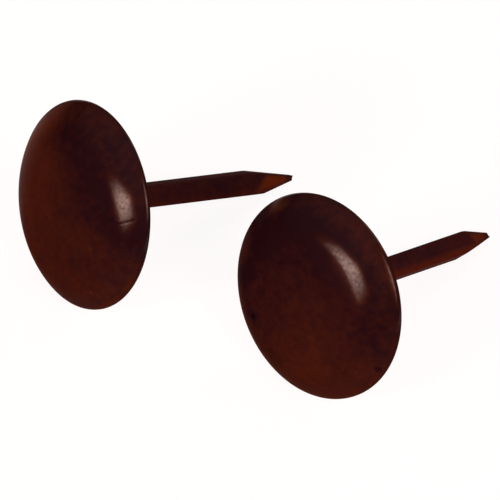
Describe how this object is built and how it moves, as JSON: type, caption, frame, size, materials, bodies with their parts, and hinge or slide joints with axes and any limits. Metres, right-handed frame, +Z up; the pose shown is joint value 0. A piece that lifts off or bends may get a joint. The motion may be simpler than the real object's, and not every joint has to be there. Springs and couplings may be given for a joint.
{
  "type": "upholstery nail",
  "caption": "Upholstery nails with a domed sheet-steel cap welded to a square pointed wire shank, lacquered brown, lying loose on rim and tip.",
  "frame": {"origin": "middle of the footprint of the two nails, on the table they lie on", "axes": "+X to the right of the picture, along the longest extent; +Y away from the viewer; +Z up, the shortest extent"},
  "size_m": [0.0248, 0.0178, 0.0104],
  "materials": {
    "cap_lacquer": "glossy translucent red-brown lacquer over stamped sheet steel",
    "shank_lacquer": "glossy translucent red-brown lacquer over drawn square steel wire",
    "weld_lacquer": "red-brown lacquer over the weld metal between wire and cap"
  },
  "bodies": {
    "left_nail": {"left_cap": "cap_lacquer", "left_shank": "shank_lacquer", "left_weld": "weld_lacquer"},
    "right_nail": {"right_cap": "cap_lacquer", "right_shank": "shank_lacquer", "right_weld": "weld_lacquer"}
  },
  "joints": [
    {"name": "right_nail_lift", "type": "slide", "parent": "left_nail", "child": "right_nail", "axis": [0, 0, 1], "range_m": [0, 0.03]}
  ]
}
